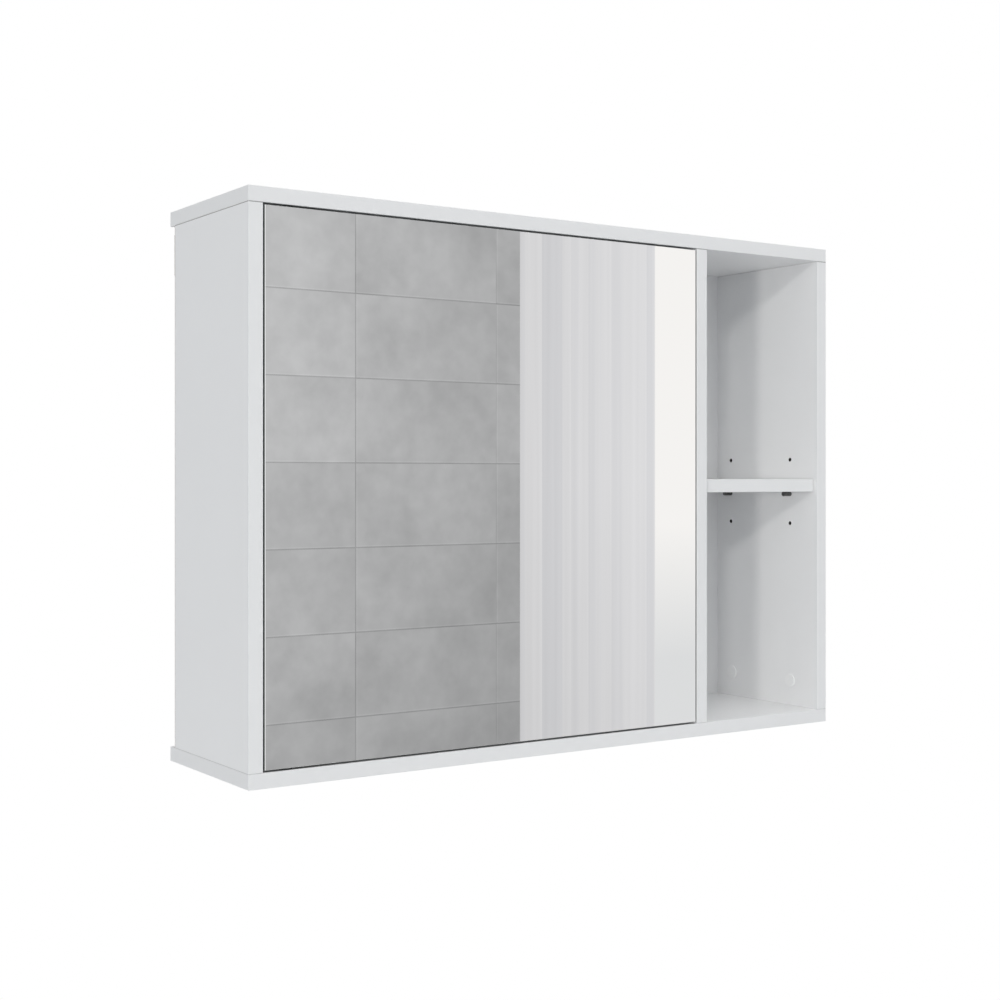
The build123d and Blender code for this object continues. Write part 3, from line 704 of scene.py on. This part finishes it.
def fluted_dowels(node, paint):
    """Dowels with straight glue flutes and chamfered ends."""
    boxes = loose_boxes(node)
    low, high = boxes[0]
    radius = (high.x - low.x) / 2
    length = high.z - low.z
    chamfer = DOWEL_CHAMFER * radius

    def radius_at(height, angle):
        wave = 0.5 + 0.5 * math.cos(DOWEL_FLUTES * angle)
        groove = FLUTE_DEPTH * radius * wave ** 3
        from_end = min(-height, length + height)
        cone = max(0.0, chamfer - from_end)
        return radius - groove - cone

    rings = [-length + length * index / DOWEL_STEPS for index in range(DOWEL_STEPS + 1)]
    rings = sorted({*rings, -length + chamfer, -chamfer})
    mesh = lathe(rings, DOWEL_FLUTES * SIDES_PER_FLUTE, radius_at)
    spots = [(Vector(((a.x + b.x) / 2, (a.y + b.y) / 2, b.z)), (0, 0, -1)) for a, b in boxes]
    stand_for(placed(f"{node}_fluted", [mesh], spots), node, paint)


def soften(node, width):
    """A small bevel on a CAD node's sharp arrises, as moulded or pressed pieces have."""
    thing = nodes[node]
    weld = thing.modifiers.new("weld", "WELD")
    weld.merge_threshold = MERGE_DISTANCE
    bevel = thing.modifiers.new("arris", "BEVEL")
    bevel.width = width
    bevel.segments = 2
    bevel.limit_method = "ANGLE"
    bevel.angle_limit = math.radians(ARRIS_ABOVE)
    bevel.harden_normals = True


# Stage

def stage_plane(name, corners, material):
    """A flat four-cornered stage piece."""
    mesh = bpy.data.meshes.new(name)
    mesh.from_pydata(corners, [], [(0, 1, 2, 3)])
    mesh.materials.append(material)
    thing = bpy.data.objects.new(name, mesh)
    bpy.context.scene.collection.objects.link(thing)
    return thing


def emission(name):
    """A stage material that only glows, as a Paint whose shader is an emission node."""
    paint = Paint(name)
    glow = paint.add("ShaderNodeEmission")
    output = paint.tree.nodes["Material Output"]
    paint.tree.links.new(glow.outputs[0], output.inputs["Surface"])
    paint.tree.nodes.remove(paint.shader)
    paint.shader = glow
    return paint


def reflection_card(name, x_range, paint):
    """An upright glowing card in front of the cabinet that only mirror-like surfaces see: a painted
    reflection.
    """
    low_x, high_x = x_range
    corners = [
        (low_x, CARD_Y, CARD_LOW_Z),
        (high_x, CARD_Y, CARD_LOW_Z),
        (high_x, CARD_Y, CARD_HIGH_Z),
        (low_x, CARD_Y, CARD_HIGH_Z),
    ]
    card = stage_plane(name, corners, paint.material)
    card.visible_camera = False
    card.visible_diffuse = False
    card.visible_transmission = False
    card.visible_shadow = False
    return card


def panel_card():
    """Grey stone-like panels, each clouded in its own way, with painted light that makes them lighter up
    and to the left.

    Each thin dark joint has a painted highlight beside it, a pale line where the next panel's edge
    catches light.
    """
    paint = emission("card_panels")
    cells = []
    lines = []
    rims = []
    for letter, size, origin in zip("XZ", PANEL_SIZE, PANEL_ORIGIN):
        place = paint.math("DIVIDE", paint.math("SUBTRACT", paint.axis(letter), origin), size)
        cells.append(paint.math("FLOOR", place))
        share = paint.math("FRACT", place)
        lines.append(paint.math("LESS_THAN", share, PANEL_JOINT / size))
        rims.append(paint.math("LESS_THAN", share, 2.0 * PANEL_JOINT / size))
    fainter = paint.ramp(paint.axis("X"), 1.0, 0.4, start=1.7, end=2.2)
    upright = paint.math("MULTIPLY", lines[0], fainter)
    joint = paint.math("MAXIMUM", upright, lines[1])
    rim = paint.math("MAXIMUM", rims[0], rims[1])
    cell = paint.add("ShaderNodeCombineXYZ", {0: cells[0], 1: cells[1]}).outputs[0]
    random = paint.add("ShaderNodeTexWhiteNoise", {"Vector": cell}, noise_dimensions="3D").outputs[0]
    apart = {0: cell, 1: PANEL_SHIFT, 2: paint.place["Object"]}
    place = paint.add("ShaderNodeVectorMath", apart, operation="MULTIPLY_ADD").outputs[0]
    broad = paint.noise(PANEL_CLOUDS, detail=12.0, place=place)
    small = paint.noise(PANEL_GRIT, detail=12.0, place=place)
    clouds = paint.ramp(broad, -0.10, 0.10, start=0.3, end=0.7)
    grit = paint.ramp(small, -0.05, 0.05, start=0.3, end=0.7)
    mottle = paint.math("ADD", clouds, grit)
    tone = paint.math("ADD", mottle, paint.ramp(random, 0.98, 1.02))
    # Painted light: lighter to the left and towards the top.
    right = paint.ramp(paint.axis("X"), 0.50, 0.41, start=1.269, end=2.336)
    up = paint.ramp(paint.axis("Z"), 0.86, 1.06, start=-0.7, end=1.0)
    level = paint.math("MULTIPLY", paint.math("MULTIPLY", right, up), tone)
    level = paint.math("MULTIPLY", level, paint.ramp(rim, 1.0, PANEL_RIM_HIGHLIGHT))
    level = paint.math("MULTIPLY", level, paint.ramp(joint, 1.0, PANEL_JOINT_TONE))
    paint.set("Color", paint.mix(level, BLACK, PANEL_TINT))
    reflection_card("reflected_panel_card", PANEL_CARD_X, paint)


def pleat_card():
    """Pale upright pleats in cool and warm bands, with painted shade across each fold, and painted light
    that makes them brighter to the right and dimmer below.
    """
    paint = emission("card_pleats")
    along = paint.math("DIVIDE", paint.math("SUBTRACT", paint.axis("X"), PLEAT_CARD_X[0]), PLEAT)
    wander = paint.noise(PLEAT_CLOUDS, detail=2.0, stretch=(1.0, 1.0, 0.0))
    drift = paint.math("MULTIPLY", wander, PLEAT_DRIFT)
    place = paint.math("ADD", paint.math("MULTIPLY", along, 2.0), drift)
    band = paint.math("FLOOR", place)
    tone = paint.add("ShaderNodeTexWhiteNoise", {"W": band}, noise_dimensions="1D").outputs[0]
    odd = paint.math("FLOORED_MODULO", band, 2.0)
    light = paint.math("MULTIPLY", paint.math("ADD", tone, odd), 0.5)
    curve = paint.ramp(paint.math("FRACT", place), -0.01, 0.01)
    threads = paint.noise(PLEAT_THREADS, detail=6.0, stretch=(1.0, 1.0, 0.01))
    fine = paint.ramp(threads, -0.025, 0.025, start=0.3, end=0.7)
    folds = paint.math("ADD", paint.math("ADD", paint.ramp(light, -0.034, 0.034), curve), fine)
    # Painted light: brighter to the right and dimmer below.
    base = paint.ramp(paint.axis("X"), 0.68, 0.765, *PLEAT_CARD_X)
    low = paint.ramp(paint.axis("Z"), 0.93, 1.0, start=-0.6, end=0.3)
    level = paint.math("MULTIPLY", paint.math("ADD", base, folds), low)
    tint = paint.mix(light, PLEAT_COOL, PLEAT_WARM)
    shade = paint.mix(level, BLACK, WHITE)
    tinted = paint.add("ShaderNodeVectorMath", {0: shade, 1: tint}, operation="MULTIPLY").outputs[0]
    paint.set("Color", tinted)
    reflection_card("reflected_pleat_card", PLEAT_CARD_X, paint)


def bright_card():
    """Warm white above, dimmer below."""
    paint = emission("card_bright")
    up = paint.ramp(paint.axis("Z"), 0.0, 1.0, start=-0.42, end=0.12)
    paint.set("Color", paint.mix(up, BRIGHT_LOW, BRIGHT_HIGH))
    reflection_card("reflected_bright_card", BRIGHT_CARD_X, paint)


def seen_directly(tree):
    """1 for rays from the camera, a mirror or glass, 0 for rays that light the object."""
    rays = tree.nodes.new("ShaderNodeLightPath")
    total = rays.outputs["Is Camera Ray"]
    for name in ("Is Glossy Ray", "Is Transmission Ray"):
        either = tree.nodes.new("ShaderNodeMath")
        either.operation = "MAXIMUM"
        tree.links.new(total, either.inputs[0])
        tree.links.new(rays.outputs[name], either.inputs[1])
        total = either.outputs[0]
    return total


def floor():
    """A round pale floor under the hanging cabinet, whose rim fades into the white."""
    paint = Paint("stage_floor", FLOOR_COLOUR, FLOOR_ROUGHNESS)
    paint.set("Emission Color", (*WHITE, 1.0))
    paint.set("Emission Strength", paint.math("MULTIPLY", seen_directly(paint.tree), FLOOR_GLOW))
    measure = paint.add("ShaderNodeVectorMath", {0: paint.place["Object"]}, operation="LENGTH")
    distance = measure.outputs["Value"]
    paint.set("Alpha", paint.ramp(distance, 1.0, 0.0, FLOOR_FADE_START, FLOOR_RADIUS))
    shape = bmesh.new()
    bmesh.ops.create_circle(shape, cap_ends=True, segments=FLOOR_SIDES, radius=FLOOR_RADIUS)
    mesh = bpy.data.meshes.new("floor")
    shape.to_mesh(mesh)
    shape.free()
    mesh.materials.append(paint.material)
    thing = bpy.data.objects.new("floor", mesh)
    thing.location = FLOOR_MIDDLE
    bpy.context.scene.collection.objects.link(thing)


def world():
    """White to the camera and in reflections, a softer grey for the light it gives."""
    scene_world = bpy.data.worlds.new("studio")
    bpy.context.scene.world = scene_world
    scene_world.use_nodes = True
    tree = scene_world.node_tree
    background = tree.nodes["Background"]
    seen = seen_directly(tree)
    level = tree.nodes.new("ShaderNodeMapRange")
    level.inputs["To Min"].default_value = WORLD_LIGHT
    level.inputs["To Max"].default_value = 1.0
    tree.links.new(seen, level.inputs["Value"])
    tree.links.new(level.outputs[0], background.inputs["Strength"])
    tint = tree.nodes.new("ShaderNodeMix")
    tint.data_type = "RGBA"
    tint.inputs[6].default_value = (*SHADE_TINT, 1.0)
    tint.inputs[7].default_value = (*WHITE, 1.0)
    tree.links.new(seen, tint.inputs[0])
    tree.links.new(tint.outputs[2], background.inputs["Color"])


def softbox(name, azimuth, elevation, distance, size, power):
    """A square light aimed at the cabinet that doesn't show in the mirror.

    azimuth is measured in degrees from straight in front towards the left.
    """
    data = bpy.data.lights.new(name, "AREA")
    data.shape = "SQUARE"
    data.size = size
    data.energy = power
    data.color = LAMP_TINT
    light = bpy.data.objects.new(name, data)
    turn, rise = math.radians(azimuth), math.radians(elevation)
    level = distance * math.cos(rise)
    away = Vector((-level * math.sin(turn), -level * math.cos(turn), distance * math.sin(rise)))
    light.location = Vector(CABINET_MIDDLE) + away
    light.rotation_mode = "QUATERNION"
    light.rotation_quaternion = (-away).to_track_quat("-Z", "Y")
    light.visible_glossy = False
    light.visible_camera = False
    bpy.context.scene.collection.objects.link(light)


def camera():
    """The photograph's camera: level, panned, with its frame shifted to the horizon."""
    data = bpy.data.cameras.new("camera")
    data.sensor_width = SENSOR_MM
    data.lens = CAMERA_LENS_MM
    data.shift_y = (HORIZON_PIXEL - FRAME_PIXELS / 2) / FRAME_PIXELS
    data.clip_end = CAMERA_REACH
    thing = bpy.data.objects.new("camera", data)
    thing.location = CAMERA_PLACE
    thing.rotation_euler = (math.radians(90), 0.0, math.radians(-CAMERA_PAN))
    bpy.context.scene.collection.objects.link(thing)
    bpy.context.scene.camera = thing


def lights():
    """Two lights from the left as in the photograph, and soft ones all round."""
    softbox("low_left_light", azimuth=58.4, elevation=0.5, distance=FAR, size=SMALL_LIGHT, power=114.0)
    softbox("left_light", azimuth=45.0, elevation=19.5, distance=FAR, size=SMALL_LIGHT, power=102.0)
    softbox("front_light", azimuth=0.0, elevation=12.0, distance=NEAR, size=LARGE_LIGHT, power=21.0)
    softbox("upper_light", azimuth=20.0, elevation=50.0, distance=NEAR, size=LARGE_LIGHT, power=42.0)
    softbox("steep_light", azimuth=-25.0, elevation=76.0, distance=NEAR, size=LARGE_LIGHT, power=71.0)
    softbox("below_light", azimuth=0.0, elevation=-60.0, distance=CLOSE, size=SMALL_LIGHT, power=0.5)
    softbox("right_light", azimuth=-100.0, elevation=18.0, distance=NEAR, size=LARGE_LIGHT, power=80.0)
    softbox("rear_light", azimuth=180.0, elevation=50.0, distance=NEAR, size=LARGE_LIGHT, power=12.0)


def stage():
    """Everything round the object."""
    camera()
    world()
    floor()
    panel_card()
    pleat_card()
    bright_card()
    lights()


# Dress the object, with the widths of its arrises in metres

HANGER_ARRIS = 0.0002
PIN_ARRIS = 0.0003
LATCH_ARRIS = 0.0004


def dress_boards():
    """Boards with their thin direction, and edge strips with their long one."""
    for node in ("top_panel", "bottom_panel", "open_shelf", "cabinet_shelf"):
        melamine_board(node, "Z")
    for node in ("left_side_panel", "divider_panel", "right_side_panel"):
        melamine_board(node, "X")
    melamine_board("door_board", "Y")
    back_board("back_panel")
    for node in ("top_panel_edging", "bottom_panel_edging", "open_shelf_edging", "cabinet_shelf_edging"):
        edge_band(node, "X")
    for node in (*UPRIGHT_BANDS, "door_edging"):
        edge_band(node, "Z")


def dress_fittings():
    """Hinges, latch, pins, caps, screws and the joints inside the boards."""
    zinc = metal("zinc_plate", ZINC, roughness=0.32)
    nickel = metal("nickel_plate", NICKEL, roughness=0.25, brushed="X")
    dark = metal("dark_nickel", DARK_NICKEL, roughness=0.22)
    white = plastic("white_cap", CAP_WHITE, roughness=0.3)
    nylon = plastic("black_nylon", NYLON, roughness=0.5)
    latch = plastic("latch_plastic", LATCH_GREY, roughness=0.4)
    magnet = metal("magnet", MAGNET, roughness=0.28)
    for node in ("bottom_cam_housings", "bottom_cam_bolts", "top_connecting_screws", "strike_plate"):
        paint_node(node, zinc)
    for node in ("left_wall_hanger", "right_wall_hanger"):
        paint_node(node, metal(f"{node}_plate", HANGER_ZINC, roughness=0.36, scale=240.0))
        soften(node, HANGER_ARRIS)
    paint_node("back_panel_nails", metal("nail_steel", NAIL_STEEL, roughness=0.4))
    for node in ("open_shelf_pins", "cabinet_shelf_pins"):
        paint_node(node, dark)
        soften(node, PIN_ARRIS)
    for node in ("lower_pivot_leaf", "upper_pivot_leaf", "pivot_pins"):
        paint_node(node, nickel)
    for node in ("cam_cover_caps", "top_screw_caps"):
        paint_node(node, white)
    for node in ("hinge_bushes", "hinge_washers"):
        paint_node(node, nylon)
    paint_node("latch_housing", latch)
    soften("latch_housing", LATCH_ARRIS)
    paint_node("latch_plunger", latch)
    paint_node("latch_magnet", magnet)
    paint_node("latch_spring", metal("spring_steel", SPRING_STEEL, roughness=0.25))
    paint_node("mirror_tape_strips", foam_tape("foam_tape"))
    screws("wall_hanger_screws", (0, -1, 0), HANGER_HEAD, zinc, domed=True)
    screws("latch_screws", (1, 0, 0), SMALL_HEAD, zinc)
    screws("pivot_leaf_screws", into_door_edge, SMALL_HEAD, zinc)
    screws("strike_plate_screw", (0, -1, 0), THIN_HEAD, zinc)
    fluted_dowels("wood_dowels", beech("beech"))


stage()
dress_boards()
mirror("mirror_glass")
dress_fittings()

bpy.context.scene.view_settings.view_transform = "Standard"
